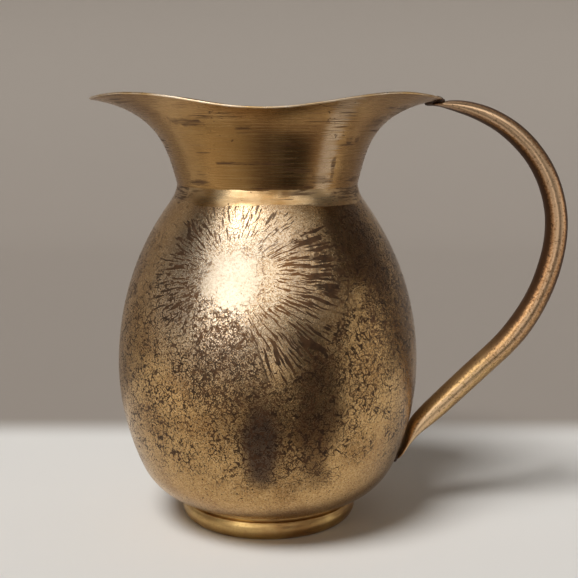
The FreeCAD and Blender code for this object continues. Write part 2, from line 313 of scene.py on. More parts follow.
def make_collar():
    """The flared collar, one sheet thick, with its cut edge rounded over."""
    levels = np.concatenate([np.linspace(-1, 0, 6)[:-1], np.linspace(0, 1, 56)])
    turns = np.linspace(0, 2 * math.pi, TURNS, endpoint=False)
    face = np.stack([collar_curve(turn, levels) for turn in turns], 1)
    across = np.roll(face, -1, 1) - np.roll(face, 1, 1)
    upward = np.gradient(face, axis=0)
    normal = np.cross(across, upward)
    normal /= np.linalg.norm(normal, axis=2, keepdims=True)
    upward /= np.linalg.norm(upward, axis=2, keepdims=True)
    face[..., 0] += AXIS_X
    # The bumps fade in from just above the skirt, and only go inward: the size is the CAD's.
    bumps_from, bumps_over = -0.2, 0.6
    rise = np.clip((levels - bumps_from) / bumps_over, 0, 1)[:, None]
    bumps = wavy(face.reshape(-1, 3), *COLLAR_WAVES).reshape(face.shape[:2]) * rise
    face = face + normal * (bumps - COLLAR_WAVES[0] * rise)[..., None]
    radius = SHEET / 2
    middle = face[-1] - normal[-1] * radius - upward[-1] * radius
    lip = np.stack([middle + normal[-1] * radius * math.cos(a) + upward[-1] * radius * math.sin(a)
                    for a in np.linspace(0, math.pi, 9)[1:-1]])
    inner = (face - normal * SHEET)[::-1]
    inner[0] = middle - normal[-1] * radius
    face[-1] = middle + normal[-1] * radius
    grid = np.concatenate([face, lip, inner])
    collar = grid_mesh("collar_flare", grid, (0, len(grid) - 1))
    rim_rows = range(len(levels) - 1, len(levels) + len(lip))
    for face in collar.data.polygons:
        face.material_index = int(face.index // TURNS in rim_rows)
    return collar


# ------------------------------------ handle

# Distance along the tube's centre line, and how thick it is left there after both ends were
# hammered flat.
SQUASH = [
    (0, 1.4), (5, 2.4), (11, 5.3), (18, 7.1), (28, 8.7), (45, 10.2), (70, 10.8), (95, 11.2),
    (120, 12.0), (150, 12.3), (180, 12.3), (205, 11.8), (215, 11.2), (223, 9.6), (229, 6.4),
    (234, 3.4), (239, 2.0), (245, 1.6),
]
# The centre line from the rim down to the belly: bends as (radius, angle), straights as length.
HANDLE_START = Vector((79.5, 0, 207.0))
HANDLE_HEADING = math.radians(-2.5)
HANDLE_RUNS = [(61.5, 101.2), (93.6, 37.2), (None, 51.4), (-30.0, 16.2), (None, 15.8)]
# How far each flattened end takes to round off: at the rim and at the belly.
RIM_TONGUE, BELLY_TONGUE = 7.0, 8.0


def handle_point(distance):
    """Where the centre line is after a distance, and the angle at which it heads down."""
    x, z, heading = HANDLE_START.x, HANDLE_START.z, HANDLE_HEADING
    for bend, extent in HANDLE_RUNS:
        length = extent if bend is None else abs(bend) * math.radians(extent)
        step = min(distance, length)
        if bend is None:
            x += step * math.cos(heading)
            z -= step * math.sin(heading)
        else:
            turned = step / bend
            x += bend * (math.sin(heading + turned) - math.sin(heading))
            z += bend * (math.cos(heading + turned) - math.cos(heading))
            heading += turned
        distance -= step
    return np.array([AXIS_X + x, 0.0, z]), heading


def make_handle():
    """The tube: squashed ellipses of one girth along its line, with rounded tongues."""
    total = SQUASH[-1][0]
    # The rings stand closer together over these lengths at the two ends.
    inset, near_rim, near_belly = 0.12, 12, 14
    distances = np.concatenate([np.linspace(inset, near_rim, 26)[:-1],
                                np.linspace(near_rim, total - near_belly, 190),
                                np.linspace(total - near_belly, total - inset, 28)[1:]])
    # The thickness, smoothed along the tube so that no kink shows between the values.
    fine = np.linspace(0, total, 981)
    window, softness = 24, 2.2
    spread = np.exp(-0.5 * (np.arange(-window, window + 1) * (fine[1] - fine[0]) / softness)**2)
    thick = np.interp(fine, *zip(*SQUASH))
    thick = np.pad(thick, window, mode="reflect", reflect_type="odd")
    thick = np.convolve(thick, spread / spread.sum(), "valid")
    around = np.linspace(0, 2 * math.pi, 72, endpoint=False)
    # The ends: the least share of the width, and a last bit that thins down to an edge.
    least_wide, edge_length, edge_share = 0.12, 0.6, 0.35
    rings = []
    for d in distances:
        centre, heading = handle_point(d)
        outward = np.array([math.sin(heading), 0.0, math.cos(heading)])
        half = float(np.interp(d, fine, thick)) / 2
        wide = math.sqrt(2 * TUBE_R**2 - half**2)
        from_end = min(d, total - d)
        tongue = RIM_TONGUE if d < total / 2 else BELLY_TONGUE
        if from_end < tongue:
            wide *= max(least_wide, math.sqrt(1 - (1 - from_end / tongue)**2))
        if from_end < edge_length:
            half *= edge_share + (1 - edge_share) * from_end / edge_length
        ring = centre + np.outer(np.cos(around) * half, outward)
        ring[:, 1] += np.sin(around) * wide
        rings.append(ring)
    grid = np.array(rings)
    middle = grid.mean(1, keepdims=True)
    # Dents, sunk so that they stay in the CAD tube, and weaker where the tube is thin.
    sunk, full_reach = 0.2, 6
    dents = sum(wavy(grid.reshape(-1, 3), *waves) for waves in HANDLE_WAVES)
    dents = dents.reshape(grid.shape[:2])[..., None] - sunk
    reach = np.linalg.norm(grid - middle, axis=2, keepdims=True)
    grid = grid + (grid - middle) / reach * dents * np.clip(reach / full_reach, 0, 1)
    piece = grid_mesh("handle_tube_skin", grid, open_rows=True)
    form = bmesh.new()
    form.from_mesh(piece.data)
    loops = [edge for edge in form.edges if edge.is_boundary]
    bmesh.ops.holes_fill(form, edges=loops, sides=0)
    form.to_mesh(piece.data)
    form.free()
    return piece


# How fine a lump of braze is meshed, and its bumps as (height, how many to a millimetre).
LUMP_VOXEL = 0.28
LUMP_BUMPS = [(0.22, 0.7), (0.08, 2.1)]


def make_lump(name, balls, seed):
    """Braze that ran together: overlapping balls fused by a voxel remesh, then roughened.

    Each ball is (centre, half sizes) in millimetres.
    """
    shifts = [Vector((seed, 0, 0)), Vector((0, seed, 0))]
    form = bmesh.new()
    for centre, halves in balls:
        made = bmesh.ops.create_icosphere(form, subdivisions=4, radius=1.0)
        for vert in made["verts"]:
            vert.co = Vector([c + v * h for c, v, h in zip(centre, vert.co, halves)]) * MM
    mesh = bpy.data.meshes.new(name)
    form.to_mesh(mesh)
    form.free()
    piece = add_object(name, mesh)
    remesh = piece.modifiers.new("fuse", "REMESH")
    remesh.mode = "VOXEL"
    remesh.voxel_size = LUMP_VOXEL * MM
    smooth = piece.modifiers.new("melt", "SMOOTH")
    smooth.factor = 0.5
    smooth.iterations = 6
    graph = bpy.context.evaluated_depsgraph_get()
    melted = bpy.data.meshes.new_from_object(piece.evaluated_get(graph))
    piece.modifiers.clear()
    piece.data = melted
    for vert in melted.vertices:
        point = vert.co / MM
        push = sum(height * noise.noise(point * scale + shift)
                   for (height, scale), shift in zip(LUMP_BUMPS, shifts))
        vert.co = vert.co + vert.normal * push * MM
    for face in melted.polygons:
        face.use_smooth = True
    return piece


# ------------------------------------ material helpers

class Graph:
    """A material's node tree, with short calls that return output sockets."""

    def __init__(self, name):
        self.material = bpy.data.materials.new(name)
        self.material.use_nodes = True
        self.tree = self.material.node_tree
        self.tree.nodes.clear()

    def add(self, kind, inputs, **settings):
        node = self.tree.nodes.new(kind)
        for key, value in settings.items():
            setattr(node, key, value)
        for key, value in inputs.items():
            if isinstance(value, bpy.types.NodeSocket):
                self.tree.links.new(value, node.inputs[key])
            else:
                node.inputs[key].default_value = value
        return node

    def math(self, operation, *values):
        return self.add("ShaderNodeMath", dict(enumerate(values)), operation=operation).outputs[0]

    def vector(self, operation, *values):
        node = self.add("ShaderNodeVectorMath", {}, operation=operation)
        for slot, value in enumerate(values):
            scaled = operation == "SCALE" and slot == 1
            socket = node.inputs["Scale" if scaled else slot]
            if isinstance(value, bpy.types.NodeSocket):
                self.tree.links.new(value, socket)
            else:
                socket.default_value = value
        return node.outputs["Value" if operation in ("DOT_PRODUCT", "LENGTH") else 0]

    def combine(self, x, y, z):
        return self.add("ShaderNodeCombineXYZ", {0: x, 1: y, 2: z}).outputs[0]

    def split(self, vector):
        return self.add("ShaderNodeSeparateXYZ", {0: vector}).outputs

    def noise(self, vector, scale, detail=2.0, roughness=0.5, distortion=0.0):
        inputs = {"Vector": vector, "Scale": scale, "Detail": detail, "Roughness": roughness,
                  "Distortion": distortion}
        return self.add("ShaderNodeTexNoise", inputs).outputs[0]

    def step(self, value, low, high):
        """0 below low, 1 above high, smooth between; the other way round if low is above high."""
        inputs = {"Value": value, "From Min": low, "From Max": high}
        return self.add("ShaderNodeMapRange", inputs, interpolation_type="SMOOTHSTEP").outputs[0]

    def span(self, value, low, rise, fall, high):
        """1 between rise and fall, 0 outside low and high."""
        return self.math("MULTIPLY", self.step(value, low, rise), self.step(value, high, fall))

    def mix(self, factor, first, second):
        node = self.add("ShaderNodeMix", {0: factor}, data_type="RGBA")
        for slot, value in ((6, first), (7, second)):
            if isinstance(value, bpy.types.NodeSocket):
                self.tree.links.new(value, node.inputs[slot])
            else:
                node.inputs[slot].default_value = (*value, 1.0)
        return node.outputs[2]

    def blend(self, factor, first, second):
        """Between two numbers."""
        inputs = {0: factor, 2: first, 3: second}
        return self.add("ShaderNodeMix", inputs, data_type="FLOAT").outputs[0]

    def chain(self, operation, values):
        result = values[0]
        for value in values[1:]:
            result = self.math(operation, result, value)
        return result

    def total(self, *values):
        return self.chain("ADD", values)

    def product(self, *values):
        return self.chain("MULTIPLY", values)

    def largest(self, *values):
        return self.chain("MAXIMUM", values)

    def inverse(self, value):
        return self.math("SUBTRACT", 1.0, value)

    def away(self, value, level):
        """How far a value is from a level, above or below."""
        return self.math("ABSOLUTE", self.math("SUBTRACT", value, level))

    def swing(self, value, amount):
        """A noise value, moved to swing about 0 and scaled."""
        return self.product(self.math("SUBTRACT", value, 0.5), amount)

    def oval(self, turn, z, middle_turn, middle_z, half_turn, half_z):
        """How far a point on the jug is from the middle of an oval: 1 on its outline."""
        across = self.math("DIVIDE", self.math("SUBTRACT", turn, middle_turn), half_turn)
        along = self.math("DIVIDE", self.math("SUBTRACT", z, middle_z), half_z)
        squares = self.total(self.product(across, across), self.product(along, along))
        return self.math("SQRT", squares)

    def place(self):
        """The point in millimetres from the foot of the jug's axis, and its x, y and z."""
        where = self.add("ShaderNodeTexCoord", {}).outputs["Object"]
        point = self.vector("SCALE", where, 1 / MM)
        point = self.vector("SUBTRACT", point, (AXIS_X, 0, 0))
        return point, *self.split(point)

    def azimuth(self, x, y):
        """The angle round the jug in degrees: 0 at the front (-Y), + towards the handle."""
        angle = self.math("ARCTAN2", x, self.math("MULTIPLY", y, -1))
        return self.math("MULTIPLY", angle, 180 / math.pi)

    def shade(self, colour, roughness, metallic, height=None, bump_depth=0.1):
        """The shader, from colour, roughness and metallic; bump depth is in millimetres."""
        inputs = {"Base Color": colour, "Roughness": roughness, "Metallic": metallic}
        shader = self.add("ShaderNodeBsdfPrincipled", inputs)
        if height is not None:
            inputs = {"Height": height, "Strength": 1.0, "Distance": bump_depth * MM}
            bump = self.add("ShaderNodeBump", inputs)
            self.tree.links.new(bump.outputs[0], shader.inputs["Normal"])
        output = self.tree.nodes.new("ShaderNodeOutputMaterial")
        self.tree.links.new(shader.outputs[0], output.inputs[0])
        return self.material


GOLD = (0.60, 0.385, 0.165)
YELLOW = (0.58, 0.40, 0.16)
PALE = (0.79, 0.695, 0.57)
LIGHT = (0.76, 0.55, 0.30)
CHALK = (0.76, 0.66, 0.52)
DEEP = (0.34, 0.19, 0.07)
BROWN = (0.075, 0.034, 0.015)
DARK = (0.028, 0.013, 0.007)
SOOT_AND_REFLECTION = (0.050, 0.036, 0.034)
WARM = (0.45, 0.272, 0.108)
STAIN = (0.095, 0.036, 0.018)
OLIVE = (0.25, 0.135, 0.040)
# The neck bead's colour, paler than the belly's as a painted highlight.
BEAD = (0.60, 0.43, 0.24)
COPPER = (0.46, 0.24, 0.105)
# The handle's lighter faces: wear, and a painted highlight.
WEAR_AND_HIGHLIGHT = (0.80, 0.57, 0.36)
RUST = (0.17, 0.070, 0.020)


# ------------------------------------ materials

# The middle of the sunburst of patina on the shoulder, and the belly's directions there.
BURST = Vector((-14.5, -63.2, 130.5))
BURST_OUT = Vector((-0.213, -0.900, 0.381)).normalized()
BURST_SIDE = (-BURST_OUT).cross(Vector((0, 0, 1))).normalized()
BURST_UP = BURST_SIDE.cross(-BURST_OUT).normalized()

# Distances from that middle, in millimetres: the thin ring, and the outlines round the left
# and the right streaks.
RING_R, LEFT_OUTLINE_R, RIGHT_OUTLINE_R = 14.6, 33.5, 53.0

# Patches of the belly's patina: the turn in degrees and the height in millimetres of the
# middle, the half sizes the same way, and how soft the outline is. The shade patch is painted
# shade, and the heart, brown and black patches low on the front also stand for a painted dark
# reflection.
PATCHES = {
    "heart": (8.0, 66.0, 19.0, 30.0, 0.35),
    "shade": (46.0, 150.0, 18.0, 36.0, 0.40),
    "middle": (2.0, 92.0, 34.0, 28.0, 0.35),
    "cluster": (21.0, 122.0, 11.0, 48.0, 0.30),
    "flank": (58.0, 124.0, 24.0, 42.0, 0.45),
    "field": (-14.0, 88.0, 74.0, 54.0, 0.40),
    "brown": (18.5, 70.0, 7.5, 30.0, 0.40),
    "soot_and_reflection": (-1.0, 57.0, 6.5, 19.0, 0.45),
}


def belly_patina():
    """Aged brass with a sunburst of brown streaks on the shoulder and dark veins below it."""
    g = Graph("belly_patina")
    point, x, y, z = g.place()
    turn = g.azimuth(x, y)

    def drift(scale, amount):
        """Slow noise that makes an edge ragged."""
        return g.swing(g.noise(point, scale, 2.0), amount)

    def warp(scale, amount):
        """Slow noise as a vector, to bend a pattern."""
        inputs = {"Vector": point, "Scale": scale, "Detail": 2.0}
        colour = g.add("ShaderNodeTexNoise", inputs).outputs["Color"]
        return g.vector("SCALE", g.vector("SUBTRACT", colour, (0.5, 0.5, 0.5)), amount)

    def below(value, level, soft):
        """1 where a value is under a level, with a soft edge."""
        return g.step(g.math("SUBTRACT", value, level), soft, -soft)

    # The burst: directions and distance from its middle.
    near = g.vector("ADD", g.vector("SUBTRACT", point, tuple(BURST)), warp(0.06, 4.0))
    side = g.vector("DOT_PRODUCT", near, tuple(BURST_SIDE))
    up = g.vector("DOT_PRODUCT", near, tuple(BURST_UP))
    reach = g.vector("LENGTH", near)
    flat = g.math("SQRT", g.total(g.product(side, side), g.product(up, up), 0.01))
    side_way, up_way = g.math("DIVIDE", side, flat), g.math("DIVIDE", up, flat)
    logs = g.math("LOGARITHM", g.math("MAXIMUM", reach, 1.0), math.e)
    ragged = g.math("ADD", reach, drift(0.20, 11.0))

    def rays(count, length, detail):
        """Noise drawn out along lines that leave the burst's middle."""
        spot = g.combine(g.product(side_way, count), g.product(up_way, count),
                         g.product(logs, length))
        return g.noise(spot, 1.0, detail)

    def circle(radius, outer, inner):
        """A thin ragged line at one distance from the burst's middle."""
        return g.step(g.away(ragged, radius), outer, inner)

    # Its three sectors: long streaks to the right, short ticks above and to the left.
    right = g.step(g.total(g.product(side_way, 0.97), g.product(up_way, -0.22)), 0.42, 0.80)
    top = g.product(g.step(up_way, 0.10, 0.70), g.inverse(right))
    left = g.step(g.total(g.product(side_way, -0.97), g.product(up_way, 0.22)), 0.45, 0.85)
    right_end = g.step(g.math("ADD", ragged, drift(0.11, 22.0)), 42.0, 60.0)
    right_level = g.total(0.28, g.product(g.step(reach, 15.0, 24.0), 0.18),
                          g.product(g.step(reach, 28.0, 44.0), 0.055),
                          g.product(right_end, -0.30))
    right_mark = below(rays(32.0, 3.8, 1.6), right_level, 0.012)
    right_mark = g.product(right_mark, g.step(right, 0.15, 0.5))
    tick_level = g.total(0.22, g.product(g.step(reach, 14.0, 21.0), 0.20),
                         g.product(left, 0.05), g.product(g.step(ragged, 34.0, 44.0), -0.12))
    tick_mark = g.product(below(rays(30.0, 4.6, 1.4), tick_level, 0.014),
                          g.largest(g.product(top, 0.85), g.step(left, 0.2, 0.6)),
                          g.step(ragged, 52.0, 40.0))

    # The thin lines round it: a ring with arcs beside it, and an outline on either side.
    ring = circle(RING_R, 0.8, 0.25)
    ring = g.product(ring, g.step(g.noise(point, 0.5, 2.0), 0.50, 0.60), 0.7)
    arcs = g.product(g.step(g.math("SINE", g.product(ragged, 3.2)), 0.70, 0.92),
                     g.span(reach, 10.0, 12.0, 16.0, 18.5))
    arcs = g.product(arcs, g.step(side_way, -0.1, 0.4),
                     g.step(g.noise(point, 0.40, 2.0), 0.46, 0.54), 0.6)
    ring = g.largest(ring, arcs)
    left_line = g.product(circle(LEFT_OUTLINE_R, 0.50, 0.18), g.step(left, 0.1, 0.5),
                          g.step(g.noise(point, 0.12, 2.0), 0.42, 0.52))
    right_line = g.product(circle(RIGHT_OUTLINE_R, 0.60, 0.20), g.step(right, 0.2, 0.6),
                           g.step(g.noise(point, 0.10, 2.0), 0.44, 0.54))

    # Veins below and beside it: cracks round cells, and worm-like specks where they crowd.
    edge = drift(0.07, 1.0)

    def patch(name):
        """A soft, ragged oval on the belly: 1 inside, 0 outside."""
        *oval, soft = PATCHES[name]
        return g.step(g.math("ADD", g.oval(turn, z, *oval), edge), 1.0 + soft, 1.0 - soft)

    heart, shade, middle, cluster, flank, field = (
        patch(name) for name in ("heart", "shade", "middle", "cluster", "flank", "field"))
    beside = g.largest(cluster, flank)
    around = g.product(g.step(g.noise(point, 0.028, 2.0), 0.40, 0.62),
                       g.span(z, 18.0, 45.0, 140.0, 160.0))
    around = g.product(around, g.step(g.math("ABSOLUTE", turn), 35.0, 60.0), 0.85)
    field = g.largest(field, around)
    burst = g.product(g.largest(right, top), g.step(ragged, 54.0, 46.0))
    clear = g.product(g.step(ragged, 11.0, 17.0), g.inverse(burst))
    dense = g.product(g.largest(heart, middle, beside), clear, 0.85)
    crowd = g.largest(g.product(field, clear, 0.65), dense)
    wormy = g.product(g.largest(middle, g.product(beside, 0.8)), clear)
    cells = g.add("ShaderNodeTexVoronoi", {"Vector": g.vector("ADD", point, warp(0.26, 8.0)),
                                           "Scale": 0.24}, feature="DISTANCE_TO_EDGE").outputs[0]
    crack_width = g.total(0.0, g.product(crowd, 0.07), drift(0.16, 0.26))
    crack = below(cells, g.math("MINIMUM", crack_width, 0.080), 0.012)
    crack = g.product(crack, g.step(crowd, 0.03, 0.25), g.step(z, 24.0, 46.0))
    worm = g.away(g.noise(point, 0.62, 3.0, 0.6, 0.6), 0.5)
    worm = below(worm, g.math("SUBTRACT", g.product(wormy, 0.046), 0.014), 0.008)
    worm = g.product(worm, g.step(wormy, 0.2, 0.6))
    speck_level = g.math("ADD", 0.355, g.product(crowd, 0.12))
    speck = below(g.noise(point, 1.35, 3.0, 0.65), speck_level, 0.015)
    speck = g.product(speck, g.blend(g.step(ragged, 6.0, 14.0), 0.45, 1.0))
    scorch = g.product(right, g.span(ragged, 32.0, 40.0, 52.0, 60.0),
                       g.step(up_way, -0.45, 0.05), 0.85)
    scorch = g.product(scorch, below(g.noise(point, 0.34, 4.0, 0.65), 0.50, 0.03))
    mark = g.largest(right_mark, tick_mark, left_line, right_line, scorch,
                     crack, worm, speck, ring)

    # The metal between them.
    grain = g.noise(point, 1.5, 3.0, 0.7)
    cloud = g.noise(point, 0.05, 3.0, 0.55)
    core = g.step(ragged, 17.0, 8.0)
    glow = g.product(g.step(reach, 62.0, 14.0), g.inverse(g.product(right, 0.25)))
    metal = g.mix(g.step(cloud, 0.40, 0.72), GOLD, DEEP)
    metal = g.mix(g.product(glow, 0.72), metal, PALE)
    metal = g.mix(g.product(core, 0.80), metal, CHALK)
    sand = g.math("ADD", g.product(grain, 0.55), g.product(g.noise(point, 2.6, 2.0, 0.6), 0.45))
    mottle = g.noise(point, 0.95, 3.0, 0.7)
    # Two grains darken the metal where they are low and glint where they are high: the levels
    # of the dark, its strength and how much less on the core, and the glints' levels, strength.
    for value, dark_from, dark_to, dark, less, glint_from, glint_to, glint in (
            (sand, 0.53, 0.40, 0.72, 0.34, 0.53, 0.62, 0.45),
            (mottle, 0.50, 0.38, 0.55, 0.30, 0.52, 0.62, 0.38)):
        strength = g.math("SUBTRACT", dark, g.product(core, less))
        metal = g.mix(g.product(g.step(value, dark_from, dark_to), strength), metal, DEEP)
        glints = g.product(g.step(value, glint_from, glint_to), glint)
        metal = g.mix(glints, metal, g.mix(glow, LIGHT, PALE))
    # The brown film is patina; on the heart it also stands for a painted dark reflection, and on
    # the shade patch it is painted shade.
    film = g.largest(g.product(beside, 0.35), g.product(heart, 0.36), g.product(shade, 0.80))
    metal = g.mix(film, metal, BROWN)
    # The brown and black patches low on the front: patina, and a painted dark reflection.
    metal = g.mix(g.product(patch("brown"), 0.66), metal, BROWN)
    metal = g.mix(g.product(patch("soot_and_reflection"), 0.82), metal, SOOT_AND_REFLECTION)
    stain = g.mix(g.step(g.noise(point, 0.30, 2.0), 0.35, 0.65), DARK, BROWN)
    rusty = g.product(g.largest(right, 0.35), g.step(reach, 40.0, 20.0))
    stain = g.mix(rusty, stain, RUST)
    colour = g.mix(g.product(mark, 0.94), metal, stain)

    # Smoother towards the handle, where the metal mirrors the light, and rougher on the marks.
    rough = g.total(0.24, g.swing(grain, 0.20), g.product(mark, 0.20), g.product(core, 0.12),
                    g.product(g.span(turn, 38.0, 43.0, 86.0, 92.0), -0.14))
    metallic = g.inverse(g.product(mark, 0.15))
    height = g.math("ADD", g.product(mark, 0.35), g.product(grain, 0.8))
    return g.shade(colour, rough, metallic, height, 0.10)


def plain_brass(name, base, shadow, roughness, brush, scuffs, band=None, blots=()):
    """Brass with brushing across z, cloudy tone, dark scratches along it and small spots.

    The brush gives how fast the lines change round the jug, per degree, and up it, per
    millimetre. The scuffs give how dark the marks are. The band gives the heights between which
    the collar's tarnish fades out: an olive film left of the front, a brown stain at the front
    with a pale band at its sharp edge, which is a painted reflection, and a weaker stain towards
    the handle. Each blot is a dark mark: its turn and height, and its half sizes in degrees and
    millimetres.
    """
    g = Graph(name)
    point, x, y, z = g.place()
    turn = g.azimuth(x, y)

    def lines(fineness, detail):
        """Brushed lines; a lower fineness gives longer and wider ones."""
        spot = g.combine(g.product(turn, brush[0] * fineness), 0.0,
                         g.product(z, brush[1] * fineness))
        return g.noise(spot, 1.0, detail, 0.6)

    brushed = lines(1.0, 4.0)
    long_lines = lines(0.55, 2.0)
    cloud = g.noise(point, 0.06, 3.0, 0.55)
    grain = g.noise(point, 1.4, 3.0, 0.65)
    worn = g.step(g.noise(point, 0.055, 2.0), 0.44, 0.60)
    scratch = g.product(g.step(long_lines, 0.42, 0.38), worn)
    fine_scratch = g.product(g.step(brushed, 0.43, 0.36), g.blend(worn, 0.35, 1.0))
    spots = g.math("ADD", g.noise(point, 0.50, 2.5), g.product(g.noise(point, 0.05, 1.0), 0.5))
    spots = g.step(spots, 0.50, 0.465)
    marks = g.product(g.largest(scratch, g.product(fine_scratch, 0.6), spots), scuffs)

    # The blots have wobbly outlines, and the brushed lines break them up.
    wobble = g.swing(g.noise(point, 0.25, 3.0, 0.6), 2.6)
    broken = g.blend(g.step(lines(1.5, 3.0), 0.56, 0.46), 0.20, 0.95)
    for blot in blots:
        far = g.math("ADD", g.oval(turn, z, *blot), wobble)
        marks = g.largest(marks, g.product(g.step(far, 1.30, 0.60), broken))

    colour = g.mix(g.step(cloud, 0.34, 0.68), base, shadow)
    if band is not None:
        low = g.step(g.math("ADD", z, g.product(long_lines, 8.0)), band[1], band[0])
        ragged = g.math("ADD", turn, g.swing(brushed, 16.0))
        olive = g.product(low, g.span(turn, -62.0, -24.0, -6.0, 10.0),
                          g.step(brushed, 0.22, 0.56), 0.85)
        colour = g.mix(olive, colour, OLIVE)
        front = g.span(ragged, -14.0, 0.0, 27.0, 34.0)
        by_handle = g.span(ragged, 40.0, 54.0, 80.0, 100.0)
        stained = g.largest(g.product(front, g.step(g.away(turn, 6.5), 0.0, 4.5)),
                            g.product(front, 0.72), g.product(by_handle, 0.45))
        # A pale band beside the front stain: a painted reflection.
        painted_reflection = g.span(ragged, 28.0, 33.0, 37.0, 43.0)
        colour = g.mix(g.product(painted_reflection, 0.32), colour, PALE)
        stained = g.product(low, stained, g.step(brushed, 0.30, 0.62), 0.80)
        colour = g.mix(stained, colour, STAIN)
    colour = g.mix(g.product(g.step(brushed, 0.40, 0.64), 0.35), colour, shadow)
    colour = g.mix(g.product(g.step(grain, 0.48, 0.36), 0.35), colour, shadow)
    colour = g.mix(g.product(marks, 0.9), colour, BROWN)

    rough = g.total(roughness, g.swing(brushed, 0.30), g.product(marks, 0.2))
    metallic = g.inverse(g.product(marks, 0.2))
    height = g.total(g.product(brushed, 0.6), g.product(grain, 0.3), g.product(marks, -0.4))
    return g.shade(colour, rough, metallic, height, 0.04)


def handle_metal():
    """The tube: coppery above and golden low down. Its front and back faces are lighter, partly
    wear and partly a painted highlight, and its edges are dark brown, partly patina and partly
    painted shade.
    """
    g = Graph("handle_brass")
    point, _, y, z = g.place()
    cloud = g.noise(point, 0.06, 3.0, 0.55)
    grain = g.noise(point, 0.9, 3.5, 0.65)
    golden = g.step(g.math("ADD", z, g.swing(cloud, 70.0)), 125.0, 60.0)
    # How far out to the side of the handle's middle plane, in millimetres.
    face = g.math("ADD", g.math("ABSOLUTE", y), g.swing(grain, 2.5))
    # The lighter faces are partly wear and partly a painted highlight.
    worn_and_highlit = g.step(face, 5.3, 6.3)
    # The dark edges are partly patina and partly painted shade.
    patina_and_shade = g.step(face, 5.75, 4.3)
    colour = g.mix(golden, COPPER, GOLD)
    colour = g.mix(g.product(worn_and_highlit, 0.65), colour, WEAR_AND_HIGHLIGHT)
    colour = g.mix(g.product(patina_and_shade, g.blend(golden, 0.95, 0.50)), colour, BROWN)
    pitted = g.step(grain, 0.44, 0.34)
    colour = g.mix(g.product(pitted, 0.6), colour, BROWN)
    rough = g.total(0.30, g.swing(grain, 0.25), g.product(pitted, 0.1),
                    g.product(patina_and_shade, 0.2))
    metallic = g.total(0.92, g.product(pitted, -0.2), g.product(patina_and_shade, -0.15))
    return g.shade(colour, rough, metallic, grain, 0.05)


def braze_metal(name, base, roughness, metallic):
    """Dull, lumpy braze, darker in patches."""
    g = Graph(name)
    point, *_ = g.place()
    lumps = g.noise(point, 0.8, 4.0, 0.6)
    colour = g.mix(g.step(lumps, 0.35, 0.7), base, DARK)
    rough = g.math("ADD", roughness, g.product(lumps, 0.2))
    shine = g.math("SUBTRACT", metallic, g.product(g.step(lumps, 0.3, 0.6), metallic * 0.4))
    return g.shade(colour, rough, shine, lumps, 0.12)


# Dark marks, as (turn, height, half size round, half size up) in degrees and millimetres: on
# the collar, and on the bead of braze at its foot.
COLLAR_BLOTS = [
    (33.0, 172.5, 7.0, 1.8), (27.0, 169.5, 4.0, 1.0), (41.0, 178.0, 1.5, 5.0),
    (48.0, 190.0, 2.2, 1.5), (55.0, 190.5, 2.0, 1.3), (76.0, 204.0, 9.0, 2.6),
    (64.0, 199.0, 5.0, 2.0), (20.0, 177.0, 6.0, 1.0), (-12.0, 180.5, 16.0, 0.8),
    (4.0, 169.0, 14.0, 1.0), (-44.0, 171.0, 8.0, 1.2), (-40.0, 199.0, 10.0, 1.6),
    (150.0, 186.0, 14.0, 2.0), (-140.0, 176.0, 10.0, 1.4), (-105.0, 192.0, 6.0, 2.4),
    (180.0, 170.0, 18.0, 1.2),
]
BEAD_BLOTS = [(60.0, 166.0, 16.0, 5.0), (-64.0, 166.0, 14.0, 5.0),
              (130.0, 166.0, 20.0, 4.0), (-150.0, 166.0, 12.0, 4.0)]
COLLAR_BAND = (201.0, 206.0)

BELLY = belly_patina()
COLLAR = plain_brass("collar_brass", WARM, DEEP, 0.27, (0.035, 1.5), 0.9, COLLAR_BAND,
                     COLLAR_BLOTS)
# The rim's pale colour is partly wear and partly a painted highlight along the lip.
RIM = plain_brass("rim_wear_and_highlight", PALE, GOLD, 0.30, (0.3, 0.5), 0.2)
# The bead's paler base colour is a painted highlight along the crease.
BEAD_BRASS = plain_brass("bead_brass", BEAD, DEEP, 0.28, (0.05, 0.8), 0.9, blots=BEAD_BLOTS)
FOOT = plain_brass("foot_brass", YELLOW, DEEP, 0.36, (0.10, 1.2), 0.35)
HANDLE = handle_metal()
BRAZE = braze_metal("dull_braze", DEEP, 0.4, 1.0)
BURNT = braze_metal("burnt_braze", BROWN, 0.42, 0.4)

finish_piece(make_lower_bowl(), BELLY, "belly_brass", "belly_lower_bowl")
finish_piece(make_shoulder(), BELLY, "belly_brass", "belly_shoulder")
finish_piece(make_foot_band(), FOOT, "foot_brass", "foot_ring")
collar = finish_piece(make_collar(), COLLAR, "collar_brass", "neck_collar")
collar.data.materials.append(RIM)
finish_piece(make_handle(), HANDLE, "handle_brass", "handle_tube")

# The neck's bead fills the crease between the collar's skirt and the shoulder.
NECK_BEAD_REACH, NECK_BEAD_HEIGHT, NECK_BEAD_HOLLOW = 3.2, 3.8, 0.45
neck_bead_r = NECK_R + NECK_BEAD_REACH
bead_top_r = NECK_R - 0.05
neck_fillet = make_fillet("neck_fillet", (bead_top_r, NECK_Z + NECK_BEAD_HEIGHT),
                          (neck_bead_r, shoulder_z(neck_bead_r) + 0.02), NECK_BEAD_HOLLOW,
                          (bead_top_r - 0.3, shoulder_z(bead_top_r) - 0.2), NECK_BEAD_WAVES)
finish_piece(neck_fillet, BEAD_BRASS, "braze", "neck_braze")

